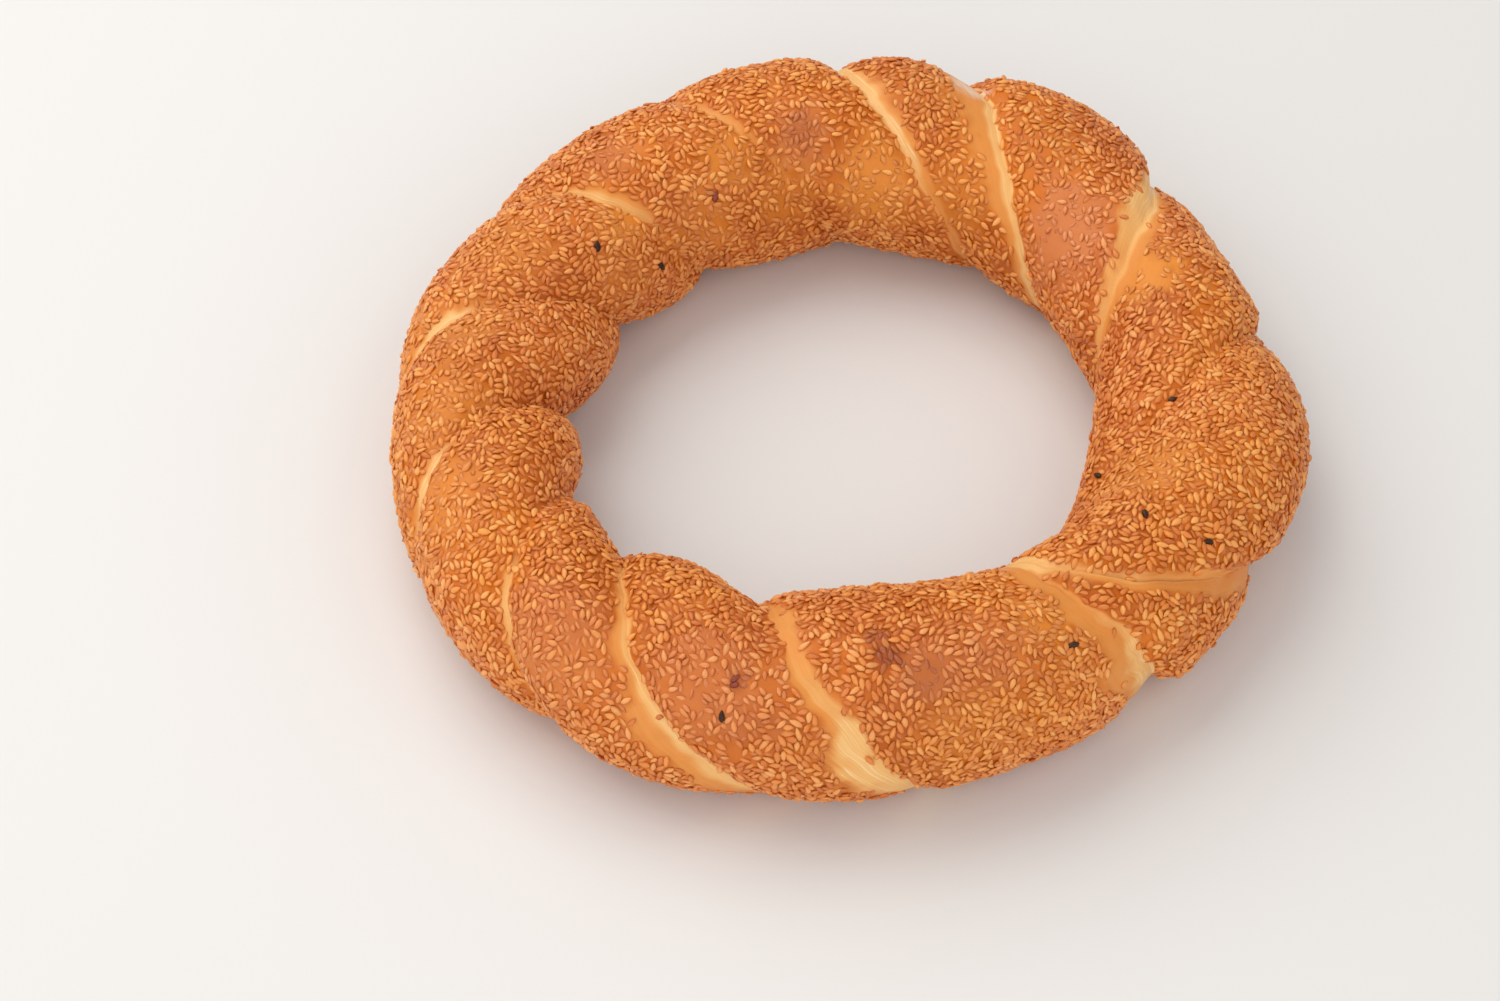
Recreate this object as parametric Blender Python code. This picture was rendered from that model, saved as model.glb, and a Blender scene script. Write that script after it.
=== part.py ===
"""A simit: a ring of bread twisted from two strands of dough.

The two strands wind round each other as they go round the ring, so their surface
shows a spiral of lobes parted by creases.  The number of creases met on one trip
round the crown is odd, so all of them are one single line, which goes twice round
the ring before it closes.  The ring lies flat, its shown side up, on the flat that
baking on a tray gives it.

Units are metres, +Z is up, and the origin is the middle of the underside.
"""

import math
from collections import namedtuple

import bmesh
import bpy
import numpy as np

# ---------------------------------------------------------------- driving sizes

RING_RADIUS = 0.0745        # centre of the ring to the centre of the dough
TUBE_RADIUS = 0.0200        # half the width of the dough
SQUASH = 0.95               # height of the dough over its width
SEAT = 0.90                 # height of the dough's centre over the tray, in half heights

RELIEF = 0.075              # how far a lobe swells, as a share of the tube radius
CREASE_DEPTH = 0.0016       # depth of an ordinary crease below the lobes
LIP_WIDTH = 0.0016          # width of a crease's steep side
BEND_POWER = 1.5            # how round the foot of a crease's sides is
SWELL_POWER = 1.5           # how quickly a lobe's own swell dies off round the tube
SLANT = 0.55                # width of a lobe across its creases over its width along the ring
FULL_LOBE = 0.015           # a lobe narrower than this has less relief

# Slow waves that make ring and tube uneven: (waves round the ring, cosine, sine).
RING_WAVES = ((2, -0.0003, 0.0015), (3, -0.0003, -0.0012))
TUBE_WAVES = ((1, 0.0005, 0.0005), (2, -0.0009, 0.0))

# One row for each crease, counter-clockwise, with the lobe that follows it.
# inner, crown, outer: azimuths in degrees where the crease crosses the side of the
# hole, the top and the outer side.  inward, outward: how far the lobe bulges to
# those sides, in mm.  depth: share of CREASE_DEPTH.  band: width in mm of the
# gently sloping bare side, which lies before the crease, or after it if negative.
# side: how much deeper the crease is on the outer side than over the crown.
Crease = namedtuple("Crease", "inner crown outer inward outward depth band side")
CREASES = (
    Crease(-38, 0, 14, 2.0, -4.0, 1.0, 6.0, 0.8),
    Crease(12, 31, 46, 0.0, 1.5, 1.2, 5.0, 0.5),
    Crease(43, 64, 75, 0.0, -0.5, 1.1, -6.0, 0.5),
    Crease(65, 86, 94, 0.0, -0.5, 1.0, 4.0, 0.4),
    Crease(95, 111, 121, 0.0, 0.0, 0.7, 2.5, 0.0),
    Crease(127, 139, 152, 0.0, 1.5, 0.9, 3.0, -0.2),
    Crease(150, 166, 178, 1.5, -1.0, 1.1, 3.0, -0.3),
    Crease(180, 191, 205, 2.5, 0.0, 1.1, 3.0, -0.1),
    Crease(203, 215, 229, -1.0, 1.5, 1.1, 3.5, -0.1),
    Crease(221, 235, 253, 2.0, 0.0, 1.2, 5.0, -0.4),
    Crease(250, 260, 275, 0.5, -2.5, 1.3, 5.5, -0.3),
    Crease(298, 305, 312, 0.5, -2.0, 1.5, 7.0, 0.6),
    Crease(300, 310, 334, -2.5, 2.0, 1.2, 5.0, 0.5),
)

# Rows of the mesh across a lobe, closer together at its creases, and columns
# round the tube.
ROWS = (0.0, 0.04, 0.10, 0.18, 0.30, 0.43, 0.56, 0.68, 0.79, 0.88, 0.945)
COLUMNS = 32

CRUST_COLOUR = (0.62, 0.19, 0.05, 1.0)
CRUST_ROUGHNESS = 0.45

MM = 0.001
LOBES = len(CREASES)
QUARTERS = 4                # knots of a crease in one turn round the tube


# ------------------------------------------------------------------- the creases

def column(name):
    """Return one column of the crease table as an array."""
    return np.array([getattr(crease, name) for crease in CREASES], dtype=float)


def crease_knots():
    """Return each crease's azimuths, in radians, at its four quarter turns.

    The fourth is on the underside, halfway from the outer side of this crease to
    the inner side of the second one onwards, which is the same line going on.
    """
    inner, crown, outer = column("inner"), column("crown"), column("outer")
    full_turn = np.where(np.arange(LOBES) >= LOBES - 2, 360.0, 0.0)
    onward = np.roll(inner, -2) + full_turn
    return np.radians(np.column_stack([inner, crown, outer, (outer + onward) / 2]))


def crease_azimuth(crease, quarter, knots):
    """Return where a crease is after some quarter turns from the inner side.

    A smooth curve through the four nearest knots (Catmull-Rom).
    """
    step = np.floor(quarter).astype(int)
    x = quarter - step

    def knot(index):
        line = crease + 2 * (index // QUARTERS)
        return knots[line % LOBES, index % QUARTERS] + 2 * math.pi * (line // LOBES)

    before, start, end, after = (knot(step + offset) for offset in (-1, 0, 1, 2))
    bend = 3 * (start - end) + after - before
    curve = 2 * before - 5 * start + 4 * end - after + x * bend
    return start + 0.5 * x * (end - before + x * curve)


# ------------------------------------------------------------------- the surface

def waves(azimuth, terms):
    """Return the sum of slow cosine and sine waves round the ring."""
    return sum(c * np.cos(n * azimuth) + s * np.sin(n * azimuth) for n, c, s in terms)


def blend(values, lobe, across):
    """Return a value given at each crease, eased from one crease to the next."""
    share = across * across * (3 - 2 * across)
    return values[lobe % LOBES] * (1 - share) + values[(lobe + 1) % LOBES] * share


def groove(lobe, across, width):
    """Return how far the creases at both edges of a lobe cut into it.

    Each falls off from its full depth as exp(-(distance / side width) ^ power).
    """
    depth = CREASE_DEPTH * column("depth")
    band = MM * column("band")
    steep = np.maximum(-band, LIP_WIDTH)[lobe % LOBES]
    gentle = np.maximum(band, LIP_WIDTH)[(lobe + 1) % LOBES]
    start = np.exp(-(across * width / steep) ** BEND_POWER)
    end = np.exp(-((1 - across) * width / gentle) ** BEND_POWER)
    return depth[lobe % LOBES] * start + depth[(lobe + 1) % LOBES] * end


def surface(lobe, across, theta):
    """Return points of the crust.

    lobe is the crease that the lobe follows, across goes from 0 at that crease to
    1 at the next, and theta is the angle round the tube: 0 on the outer side, 90
    degrees on the crown.  The tube's radius is its slow wave, times the lobe's
    arch, plus the lobe's own swell, less the creases.
    """
    knots = crease_knots()
    quarter = (math.pi - theta) / (math.pi / 2)
    first = crease_azimuth(lobe, quarter, knots)
    last = crease_azimuth(lobe + 1, quarter, knots)
    azimuth = first + (last - first) * across

    tube = TUBE_RADIUS + waves(azimuth, TUBE_WAVES)
    ring = RING_RADIUS + waves(azimuth, RING_WAVES)
    width = SLANT * (last - first) * (ring + tube * np.cos(theta))
    fullness = np.clip(width / FULL_LOBE, 0, 1)
    arch = np.sin(math.pi * across)

    inward = np.clip(-np.cos(theta), 0, 1) ** SWELL_POWER * column("inward")[lobe % LOBES]
    outward = np.clip(np.cos(theta), 0, 1) ** SWELL_POWER * column("outward")[lobe % LOBES]
    swell = MM * arch * fullness * (inward + outward)
    emphasis = 1 + blend(column("side"), lobe, across) * np.cos(theta)
    relief = emphasis * RELIEF * fullness * (arch ** 0.8 - 2 / 3)

    radius = tube * (1 + relief) + swell - emphasis * groove(lobe, across, width)
    reach = ring + radius * np.cos(theta)
    height = SQUASH * (SEAT * tube + radius * np.sin(theta))
    return np.stack([reach * np.cos(azimuth), reach * np.sin(azimuth), np.maximum(height, 0)], -1)


# ----------------------------------------------------------------------- the mesh

def grid_points():
    """Return the points of the mesh: rows along the strands, columns round the tube."""
    row = np.arange(LOBES * len(ROWS))[:, None]
    turn = np.arange(COLUMNS)[None, :] / COLUMNS
    lobe, across, theta = np.broadcast_arrays(
        row // len(ROWS),
        np.array(ROWS)[row % len(ROWS)],
        1.5 * math.pi - 2 * math.pi * turn,
    )
    return surface(lobe, across, theta).reshape(-1, 3)


def grid_faces():
    """Return four-cornered faces.

    After one turn round the tube a row goes on as the row two lobes further, so
    the last column joins the first one with that shift.
    """
    rows = LOBES * len(ROWS)
    row = np.arange(rows)[:, None]
    col = np.arange(COLUMNS)[None, :]
    shift = np.where(col == COLUMNS - 1, 2 * len(ROWS), 0)
    next_row = (row + 1) % rows
    next_col = (col + 1) % COLUMNS
    corners = (
        row * COLUMNS + col,
        (row + shift) % rows * COLUMNS + next_col,
        (next_row + shift) % rows * COLUMNS + next_col,
        next_row * COLUMNS + col,
    )
    return np.stack(corners, -1).reshape(-1, 4)


def centred(points):
    """Return the points moved so that the middle of their box is on the Z axis."""
    middle = (points.min(axis=0) + points.max(axis=0)) / 2
    return points - np.array([middle[0], middle[1], 0.0])


def crust_material():
    """Return the browned crust's material."""
    material = bpy.data.materials.new("crust")
    material.use_nodes = True
    shader = material.node_tree.nodes["Principled BSDF"]
    shader.inputs["Base Color"].default_value = CRUST_COLOUR
    shader.inputs["Roughness"].default_value = CRUST_ROUGHNESS
    return material


def add_simit():
    """Add the twisted ring as one closed mesh."""
    mesh = bpy.data.meshes.new("simit")
    mesh.from_pydata(centred(grid_points()).tolist(), [], grid_faces().tolist())
    shape = bmesh.new()
    shape.from_mesh(mesh)
    bmesh.ops.triangulate(shape, faces=shape.faces)
    bmesh.ops.recalc_face_normals(shape, faces=shape.faces)
    shape.to_mesh(mesh)
    shape.free()
    mesh.shade_smooth()
    mesh.materials.append(crust_material())
    simit = bpy.data.objects.new("simit", mesh)
    bpy.context.scene.collection.objects.link(simit)
    return simit


def clear_scene():
    """Remove whatever objects the scene holds."""
    for old in list(bpy.data.objects):
        bpy.data.objects.remove(old, do_unlink=True)


clear_scene()
add_simit()
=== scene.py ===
"""Dresses a simit, a ring of bread twisted from two strands of dough and coated in sesame.

The crust repeats the ring's own formulas on a finer grid, with blisters and uneven
creases.  The seeds are laid side by side on it, each at its own size and turn.

Units are metres, +Z is up, and the origin is the middle of the underside.
"""

import itertools
import logging
import math
from dataclasses import dataclass, fields
from enum import Enum

import bpy
import numpy as np
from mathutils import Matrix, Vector, kdtree


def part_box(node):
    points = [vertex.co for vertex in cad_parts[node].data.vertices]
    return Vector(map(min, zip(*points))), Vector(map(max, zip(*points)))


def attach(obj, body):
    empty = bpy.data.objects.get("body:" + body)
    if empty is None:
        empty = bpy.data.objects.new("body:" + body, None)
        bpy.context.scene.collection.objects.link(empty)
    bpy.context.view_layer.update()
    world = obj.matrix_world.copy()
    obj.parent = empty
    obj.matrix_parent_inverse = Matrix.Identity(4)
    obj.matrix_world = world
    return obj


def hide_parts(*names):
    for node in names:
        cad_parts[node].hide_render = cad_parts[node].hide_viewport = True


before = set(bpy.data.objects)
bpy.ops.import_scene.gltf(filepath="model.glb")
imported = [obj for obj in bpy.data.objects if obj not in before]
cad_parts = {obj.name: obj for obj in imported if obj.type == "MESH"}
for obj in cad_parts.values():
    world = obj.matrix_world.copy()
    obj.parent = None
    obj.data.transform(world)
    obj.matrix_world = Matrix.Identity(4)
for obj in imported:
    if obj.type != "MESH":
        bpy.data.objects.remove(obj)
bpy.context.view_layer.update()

NODE = "simit"
BODY = "root"
MM = 0.001
TURN = 2 * math.pi
QUARTERS = 4                # knots of a crease in one turn round the tube

log = logging.getLogger("simit")


# ------------------------------------------------------------------ the twisted ring

@dataclass(frozen=True)
class Crease:
    """A crease between two lobes, with the lobe that follows it counter-clockwise.

    inner, crown, outer: azimuths in degrees at the side of the hole, the top and the
    outer side.  inward, outward: how far the lobe bulges to those sides, in mm.
    depth: share of the ordinary depth.  band: width in mm of the gently sloping side,
    which lies before the crease, or after it if negative.  side: how much deeper the
    crease is on the outer side than over the crown.  bare: width in mm of the orange
    strip without seeds, at the side of the hole, the crown, the shoulder and the foot.
    pale: width in mm of the pale line within it there, along the strip's sharp edge.
    past: how far in mm both reach past the crease there, onto its steep side.
    cover: how densely seeds lie on the lobe.
    """

    inner: float
    crown: float
    outer: float
    inward: float
    outward: float
    depth: float
    band: float
    side: float
    bare: tuple[float, float, float, float]
    pale: tuple[float, float, float, float]
    past: tuple[float, float, float, float]
    cover: float


CREASES = (
    Crease(
        -38, 0, 14, 2.0, -4.0, 1.0, 6.0, 0.8,
        (0.4, 0.2, 0.2, 0.2), (0.0, 0.0, 0.0, 0.0), (0.2, 0.2, 0.2, 0.2), 0.95,
    ),
    Crease(
        12, 31, 46, 0.0, 1.5, 1.2, 5.0, 0.5,
        (1.4, 2.6, 2.2, 1.8), (0.4, 0.8, 1.2, 1.0), (0.6, 2.7, 2.9, 2.0), 0.88,
    ),
    Crease(
        43, 64, 75, 0.0, -0.5, 1.1, -6.0, 0.5,
        (2.2, 4.8, 4.8, 4.0), (1.0, 1.0, 1.2, 1.5), (0.4, 0.4, 0.4, 0.4), 0.90,
    ),
    Crease(
        65, 86, 94, 0.0, -0.5, 1.0, 4.0, 0.4,
        (1.4, 2.5, 1.8, 1.5), (0.2, 1.4, 1.1, 0.9), (0.4, 0.4, 0.4, 0.4), 0.94,
    ),
    Crease(
        95, 111, 121, 0.0, 0.0, 0.7, 2.5, 0.0,
        (0.4, 0.9, 0.6, 0.3), (0.0, 0.35, 0.1, 0.0), (0.4, 0.4, 0.4, 0.3), 0.98,
    ),
    Crease(
        127, 139, 152, 0.0, 1.5, 0.9, 3.0, -0.2,
        (0.3, 1.4, 0.6, 0.3), (0.0, 0.8, 0.1, 0.0), (0.3, 0.4, 0.4, 0.3), 0.98,
    ),
    Crease(
        150, 166, 178, 1.5, -1.0, 1.1, 3.0, -0.3,
        (0.2, 0.3, 1.9, 0.8), (0.0, 0.0, 1.4, 0.2), (0.2, 0.3, 0.4, 0.4), 1.00,
    ),
    Crease(
        180, 191, 205, 2.5, 0.0, 1.1, 3.0, -0.1,
        (0.2, 0.2, 1.6, 1.1), (0.0, 0.0, 1.1, 0.4), (0.2, 0.2, 0.4, 0.4), 1.00,
    ),
    Crease(
        203, 215, 229, -1.0, 1.5, 1.1, 3.5, -0.1,
        (0.2, 0.4, 1.2, 0.9), (0.0, 0.0, 0.9, 0.2), (0.2, 0.3, 0.4, 0.4), 0.99,
    ),
    Crease(
        221, 235, 253, 2.0, 0.0, 1.2, 5.0, -0.4,
        (0.6, 0.9, 2.2, 5.6), (0.2, 0.5, 0.9, 1.9), (0.4, 0.6, 0.1, 0.0), 0.97,
    ),
    Crease(
        250, 260, 275, 0.5, -2.5, 1.3, 5.5, -0.3,
        (0.1, 0.1, 2.3, 6.6), (0.0, 0.2, 0.7, 4.6), (0.1, 2.2, 1.6, 0.3), 0.97,
    ),
    Crease(
        298, 305, 312, 0.5, -2.0, 1.5, 7.0, 0.6,
        (1.2, 2.4, 5.4, 6.2), (0.5, 0.2, 0.7, 3.2), (0.5, 0.6, 0.6, 0.4), 0.96,
    ),
    Crease(
        300, 310, 334, -2.5, 2.0, 1.2, 5.0, 0.5,
        (1.6, 1.9, 2.4, 5.5), (1.3, 0.7, 0.4, 0.3), (1.0, 1.2, 1.6, 1.6), 0.98,
    ),
)


def ease(share: np.ndarray) -> np.ndarray:
    """Return a share from 0 to 1 eased at both ends, 3 x squared less 2 x cubed."""
    share = np.clip(share, 0, 1)
    return share * share * (3 - 2 * share)


@dataclass(frozen=True)
class SmoothNoise:
    """Random values at the corners of a cubic lattice, eased between the corners."""

    cell: float
    seed: int
    period: int = 32

    def at(self, points: np.ndarray) -> np.ndarray:
        """Return the field's values, from -1 to 1.

        Args:
            points: places in space, with the three coordinates last.

        Returns:
            The sum, over the eight corners of each point's cell, of the corner's random
            value times its eased share along each axis.
        """
        table = np.random.default_rng(self.seed).uniform(-1, 1, (self.period,) * 3)
        scaled = points / self.cell
        corner = np.floor(scaled).astype(int)
        share = ease(scaled - corner)
        total = np.zeros(points.shape[:-1])
        for step in itertools.product((0, 1), repeat=3):
            weight = np.prod(np.where(step, share, 1 - share), axis=-1)
            x, y, z = np.moveaxis((corner + step) % self.period, -1, 0)
            total += weight * table[x, y, z]
        return total


@dataclass(frozen=True)
class Place:
    """Places on the crust, as arrays of one shape.

    lobe: the crease that the lobe follows.  across: from 0 at that crease to 1 at the
    next.  theta: angle round the tube, 0 on the outer side and a quarter turn on the
    crown.  azimuth: angle round the ring.  width: the lobe's width there.
    tube, ring: the slow radii of dough and ring.
    """

    lobe: np.ndarray
    across: np.ndarray
    theta: np.ndarray
    azimuth: np.ndarray
    width: np.ndarray
    tube: np.ndarray
    ring: np.ndarray


@dataclass(frozen=True)
class TwistedRing:
    """The smooth shape of the ring, the same as the solid's."""

    ring_radius: float = 0.0745
    tube_radius: float = 0.0200
    squash: float = 0.95            # height of the dough over its width
    seat: float = 0.90              # height of its centre over the tray, in half heights
    relief: float = 0.075           # how far a lobe swells, as a share of the tube radius
    crease_depth: float = 0.0016
    lip_width: float = 0.0016       # width of a crease's steep side
    bend_power: float = 1.5
    swell_power: float = 1.5
    slant: float = 0.55             # a lobe's width across its creases over that along the ring
    full_lobe: float = 0.015        # a lobe narrower than this has less relief
    ring_waves: tuple[tuple[int, float, float], ...] = ((2, -0.0003, 0.0015), (3, -0.0003, -0.0012))
    tube_waves: tuple[tuple[int, float, float], ...] = ((1, 0.0005, 0.0005), (2, -0.0009, 0.0))
    # How a crease wanders along its line: waves on the whole line, size and phase.
    wander: tuple[tuple[int, float, float], ...] = (
        (29, 0.00035, 0.4), (53, 0.00030, 2.1), (97, 0.00022, 4.0), (151, 0.00014, 1.2)
    )

    @property
    def lobes(self) -> int:
        """Return how many lobes there are on one trip round the crown."""
        return len(CREASES)

    def column(self, name: str) -> np.ndarray:
        """Return one column of the crease table."""
        return np.array([getattr(crease, name) for crease in CREASES], dtype=float)

    def knots(self) -> np.ndarray:
        """Return each crease's azimuths at its quarter turns.

        Returns:
            A row for each crease, in radians: inner side, crown, outer side and
            underside, which lies halfway to the inner side of the second crease onwards.
        """
        inner, crown, outer = self.column("inner"), self.column("crown"), self.column("outer")
        full_turn = np.where(np.arange(self.lobes) >= self.lobes - 2, 360.0, 0.0)
        onward = np.roll(inner, -2) + full_turn
        return np.radians(np.column_stack([inner, crown, outer, (outer + onward) / 2]))

    def crease_azimuth(self, crease: np.ndarray, theta: np.ndarray) -> np.ndarray:
        """Return where creases are at an angle round the tube.

        Args:
            crease: numbers of the creases, past the last one too.
            theta: angle round the tube.

        Returns:
            Azimuths: a Catmull-Rom curve through the four nearest knots, plus the
            wander, a sum of sines of how far along the one closed line the place is.
        """
        knots = self.knots()
        quarter = (math.pi - theta) / (math.pi / 2)
        step = np.floor(quarter).astype(int)
        x = quarter - step

        def knot(index: np.ndarray) -> np.ndarray:
            """Return a knot's azimuth, by its number along the crease."""
            line = crease + 2 * (index // QUARTERS)
            return knots[line % self.lobes, index % QUARTERS] + TURN * (line // self.lobes)

        before, start, end, after = (knot(step + offset) for offset in (-1, 0, 1, 2))
        bend = 3 * (start - end) + after - before
        curve = 2 * before - 5 * start + 4 * end - after + x * bend
        along = (quarter + 2 * crease) / (2 * self.lobes)
        wander = sum(s * np.sin(TURN * n * along + phase) for n, s, phase in self.wander)
        return start + 0.5 * x * (end - before + x * curve) + wander / self.ring_radius

    def waves(self, azimuth: np.ndarray, terms: tuple[tuple[int, float, float], ...]) -> np.ndarray:
        """Return the sum of slow cosine and sine waves round the ring."""
        return sum(c * np.cos(n * azimuth) + s * np.sin(n * azimuth) for n, c, s in terms)

    def place(self, lobe: np.ndarray, across: np.ndarray, theta: np.ndarray) -> Place:
        """Return places given by lobe, share across it and angle round the tube.

        Args:
            lobe: number of the crease that the lobe follows.
            across: from 0 at that crease to 1 at the next.
            theta: angle round the tube.

        Returns:
            The places, with their azimuth between those of the two creases.
        """
        first = self.crease_azimuth(lobe, theta)
        last = self.crease_azimuth(lobe + 1, theta)
        azimuth = first + (last - first) * across
        tube = self.tube_radius + self.waves(azimuth, self.tube_waves)
        ring = self.ring_radius + self.waves(azimuth, self.ring_waves)
        width = self.slant * (last - first) * (ring + tube * np.cos(theta))
        return Place(lobe % self.lobes, across, theta, azimuth, width, tube, ring)

    def place_at(self, azimuth: np.ndarray, theta: np.ndarray) -> Place:
        """Return places given by azimuth and angle round the tube.

        Args:
            azimuth: angle round the ring, in one turn.
            theta: angle round the tube.

        Returns:
            The places, their theta from a quarter turn below the outer side. The lobe
            is the last crease that lies at or before the azimuth.
        """
        theta = (theta + math.pi / 2) % TURN - math.pi / 2
        lines = np.arange(-self.lobes, 2 * self.lobes)[:, None]
        edges = self.crease_azimuth(lines, theta[None, :])
        lobe = (edges <= azimuth).sum(axis=0) - 1 + lines[0, 0]
        first = self.crease_azimuth(lobe, theta)
        last = self.crease_azimuth(lobe + 1, theta)
        return self.place(lobe, (azimuth - first) / (last - first), theta)

    def blend(self, name: str, place: Place) -> np.ndarray:
        """Return a column of the crease table, eased from one crease to the next."""
        values, share = self.column(name), ease(place.across)
        return values[place.lobe] * (1 - share) + values[(place.lobe + 1) % self.lobes] * share

    def groove(self, place: Place) -> np.ndarray:
        """Return how far both creases cut into a lobe.

        Each falls off from its full depth as exp(-(distance / side width) ^ power).
        """
        depth, band = self.crease_depth * self.column("depth"), MM * self.column("band")
        following = (place.lobe + 1) % self.lobes
        steep = np.maximum(-band, self.lip_width)[place.lobe]
        gentle = np.maximum(band, self.lip_width)[following]
        start = np.exp(-(place.across * place.width / steep) ** self.bend_power)
        end = np.exp(-((1 - place.across) * place.width / gentle) ** self.bend_power)
        return depth[place.lobe] * start + depth[following] * end

    def radius(self, place: Place) -> np.ndarray:
        """Return the tube's radius.

        It is the slow wave, times the lobe's arch, plus the lobe's own swell, less the
        creases.
        """
        fullness = np.clip(place.width / self.full_lobe, 0, 1)
        arch = np.sin(math.pi * place.across)
        inward = np.clip(-np.cos(place.theta), 0, 1) ** self.swell_power * self.column("inward")[place.lobe]
        outward = np.clip(np.cos(place.theta), 0, 1) ** self.swell_power * self.column("outward")[place.lobe]
        emphasis = 1 + self.blend("side", place) * np.cos(place.theta)
        relief = emphasis * self.relief * fullness * (arch ** 0.8 - 2 / 3)
        swell = MM * arch * fullness * (inward + outward)
        return place.tube * (1 + relief) + swell - emphasis * self.groove(place)

    def points(self, place: Place, radius: np.ndarray, floor: float = 0.0) -> np.ndarray:
        """Return points in space.

        Args:
            place: places on the crust.
            radius: the tube's radius at each place.
            floor: lowest height, where the underside is flat.

        Returns:
            The points, the three coordinates last.
        """
        reach = place.ring + radius * np.cos(place.theta)
        height = self.squash * (self.seat * place.tube + radius * np.sin(place.theta))
        flat = np.maximum(height, floor)
        return np.stack([reach * np.cos(place.azimuth), reach * np.sin(place.azimuth), flat], -1)


# ------------------------------------------------------------------ spots on the ring

class Mark(Enum):
    """What a spot on the crust shows."""

    BALD = "bald"               # seeds sunk in smooth browned crust
    GOLDEN = "golden"           # fewer seeds, orange crust; some spots also painted rim light
    SCORCHED = "scorched"       # dark purple brown
    FLOURED = "floured"         # a trace of white flour


@dataclass(frozen=True)
class Spot:
    """A round spot on the crust, at an azimuth and tube angle in degrees, radius in mm."""

    mark: Mark
    azimuth: float
    theta: float
    radius: float
    strength: float


SPOTS = (
    Spot(Mark.BALD, 231, 42, 11.0, 0.5),
    Spot(Mark.BALD, 252, 52, 11.0, 0.5),
    Spot(Mark.BALD, 281, 64, 6.0, 0.5),
    Spot(Mark.BALD, 290, 68, 8.0, 0.4),
    Spot(Mark.BALD, 38, 134, 12.0, 0.85),
    Spot(Mark.BALD, 97, 122, 7.0, 0.5),
    Spot(Mark.BALD, 131, 83, 6.0, 0.35),
    Spot(Mark.GOLDEN, 300, 80, 6.0, 0.6),
    Spot(Mark.GOLDEN, 82, 152, 11.0, 0.8),
    Spot(Mark.GOLDEN, 20, 108, 7.5, 0.9),
    Spot(Mark.GOLDEN, 112, 126, 7.0, 0.6),
    Spot(Mark.GOLDEN, 139, 122, 6.5, 0.7),
    Spot(Mark.GOLDEN, 203, 58, 10.0, 0.55),
    Spot(Mark.GOLDEN, 187, 66, 10.0, 0.5),
    Spot(Mark.GOLDEN, 171, 70, 10.0, 0.55),
    Spot(Mark.GOLDEN, 335, 113, 9.0, 0.6),
    Spot(Mark.GOLDEN, 64, 150, 10.0, 0.5),
    Spot(Mark.GOLDEN, 101, 156, 9.0, 0.5),
    Spot(Mark.GOLDEN, 122, 160, 10.0, 0.5),
    Spot(Mark.GOLDEN, 145, 155, 9.0, 0.4),
    # Partly golden crust, partly painted rim light: these four spots brighten the left outer side as light from
    # the left does.
    Spot(Mark.GOLDEN, 205, 12, 9.0, 0.5),
    Spot(Mark.GOLDEN, 190, 8, 10.0, 0.65),
    Spot(Mark.GOLDEN, 170, 8, 10.0, 0.65),
    Spot(Mark.GOLDEN, 152, 16, 9.0, 0.4),
    Spot(Mark.GOLDEN, 155, 76, 10.0, 0.45),
    Spot(Mark.GOLDEN, 148, 40, 9.0, 0.35),
    Spot(Mark.GOLDEN, 285, 20, 10.0, 0.4),
    Spot(Mark.SCORCHED, 255.5, 60, 2.0, 1.0),
    Spot(Mark.SCORCHED, 274, 86, 2.2, 0.7),
    Spot(Mark.SCORCHED, 275, 75, 2.8, 0.8),
    Spot(Mark.SCORCHED, 280, 62, 3.5, 0.45),
    Spot(Mark.SCORCHED, 97, 120, 4.0, 0.3),
    Spot(Mark.SCORCHED, 76, 92, 9.0, 0.14),
    Spot(Mark.SCORCHED, 52, 96, 9.0, 0.12),
    Spot(Mark.SCORCHED, 305, 96, 6.0, 0.15),
    Spot(Mark.SCORCHED, 296, 60, 8.0, 0.12),
    Spot(Mark.SCORCHED, 118, 140, 1.3, 1.0),
    Spot(Mark.FLOURED, 70, 66, 4.0, 0.65),
)

# Black seeds, by azimuth and tube angle in degrees.
BLACK_SEEDS = ((147, 121), (136, 164), (352, 113), (334, 153), (324, 92), (326, 55), (301, 55), (255, 40))


def spot_amount(ring: TwistedRing, place: Place, mark: Mark, noise: np.ndarray) -> np.ndarray:
    """Return how strongly spots of one kind show.

    Args:
        ring: the ring's shape; not used.
        place: places on the crust.
        mark: the kind of spot.
        noise: a field from -1 to 1 that makes the spots' edges ragged.

    Returns:
        From 0 to 1: the strongest spot, each eased out from its centre to its radius.
    """
    amount = np.zeros(place.theta.shape)
    for spot in SPOTS:
        if spot.mark is not mark:
            continue
        turn = place.azimuth - math.radians(spot.azimuth)
        along = np.abs(np.angle(np.exp(1j * turn))) * place.ring
        around = np.abs(np.angle(np.exp(1j * (place.theta - math.radians(spot.theta))))) * place.tube
        share = np.hypot(along, around) / (spot.radius * MM) + 0.45 * noise
        amount = np.maximum(amount, spot.strength * ease(1.5 - share))
    return amount


# Angles round the tube, in degrees: underside, foot, shoulder, crown, side of the hole
# and underside again.
STATIONS = (-90.0, 0.0, 45.0, 90.0, 180.0, 270.0)


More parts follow.
